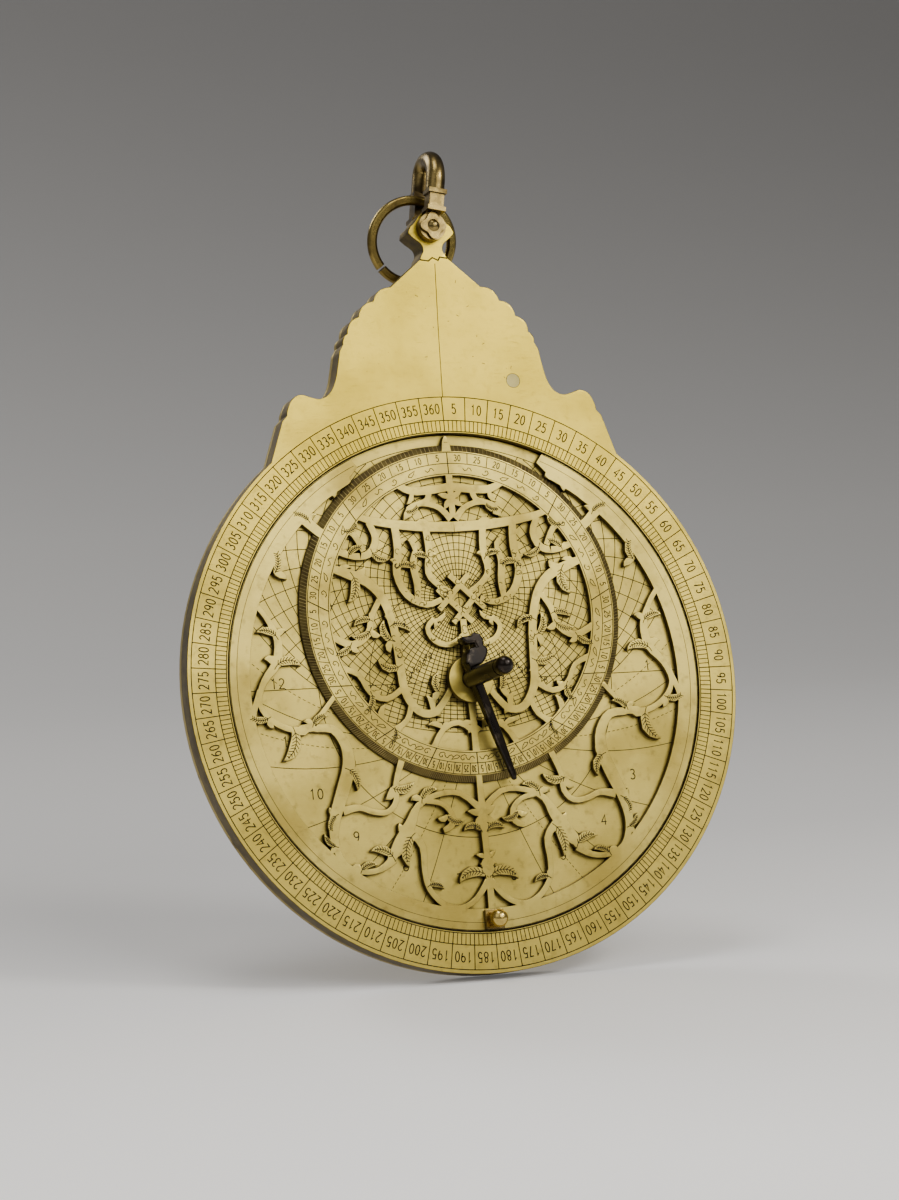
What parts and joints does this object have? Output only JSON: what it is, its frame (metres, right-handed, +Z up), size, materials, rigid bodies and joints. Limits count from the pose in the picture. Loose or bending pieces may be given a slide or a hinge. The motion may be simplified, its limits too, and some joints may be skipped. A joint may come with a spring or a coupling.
{
  "type": "planispheric astrolabe",
  "caption": "Brass planispheric astrolabe: graduated rim with scalloped throne, openwork star map, stacked plates, wedged pin, alidade and hanging ring.",
  "frame": {"origin": "the point inside the top of the shackle's bow from which the instrument hangs, half-way through its thickness", "axes": "+Z up through the throne, -Y out of the engraved face towards the reader, +X to the reader's right"},
  "size_m": [0.171, 0.0547, 0.2464],
  "materials": {
    "face_brass": "hand-polished brass with a thin yellow-brown patina",
    "rete_brass": "sawn and filed brass sheet, polished face, dark edges",
    "plate_brass": "rolled brass sheet with a soft satin face",
    "old_brass": "brass with an uneven old patina",
    "cast_brass": "cast and filed brass, worn on its high places",
    "ring_brass": "drawn and hammered brass wire",
    "knob_brass": "turned brass, handled bright",
    "peg_brass": "brass pegs filed flush, greyer than the sheet",
    "dark_steel": "forged steel with a brown-black skin"
  },
  "bodies": {
    "mater": {"back_plate": "old_brass", "limb": "face_brass", "limb_pegs": "peg_brass", "throne_plug": "peg_brass", "throne_finial": "face_brass", "shackle_pin": "cast_brass", "rosette_front": "cast_brass", "rosette_back": "cast_brass", "climate_plate_1": "plate_brass", "climate_plate_2": "plate_brass", "climate_plate_3": "plate_brass", "climate_plate_4": "plate_brass"},
    "rete": {"rete": "rete_brass", "turning_knob": "knob_brass", "knob_collar": "cast_brass"},
    "pin": {"centre_pin": "dark_steel", "front_washer": "face_brass", "back_washer": "old_brass"},
    "wedge": {"wedge": "dark_steel"},
    "alidade": {"alidade_bar": "old_brass", "sight_vane_1": "old_brass", "sight_vane_2": "old_brass", "vane_rivets": "peg_brass"},
    "shackle": {"shackle": "cast_brass"},
    "ring": {"suspension_ring": "ring_brass"}
  },
  "joints": [
    {"name": "rete_turn", "type": "hinge", "parent": "mater", "child": "rete", "pos_m": [-0.00507, -0.0066, -0.1553], "axis": [0, 1, 0], "continuous": true},
    {"name": "pin_turn", "type": "hinge", "parent": "mater", "child": "pin", "pos_m": [-0.00507, -0.0066, -0.1553], "axis": [0, 1, 0], "continuous": true},
    {"name": "wedge_slide", "type": "slide", "parent": "pin", "child": "wedge", "axis": [-0.3173, 0, 0.9483], "range_m": [0, 0.028]},
    {"name": "alidade_turn", "type": "hinge", "parent": "mater", "child": "alidade", "pos_m": [-0.00507, -0.0066, -0.1553], "axis": [0, 1, 0], "continuous": true},
    {"name": "shackle_swing", "type": "hinge", "parent": "mater", "child": "shackle", "pos_m": [-0.00347, -0.0026, -0.0197], "axis": [0, 1, 0], "range_deg": [-70, 30]},
    {"name": "ring_swing", "type": "hinge", "parent": "shackle", "child": "ring", "pos_m": [-0.00175, -0.00025, -0.0099], "axis": [0.9426, 0, -0.3338], "range_deg": [0, 120]}
  ]
}
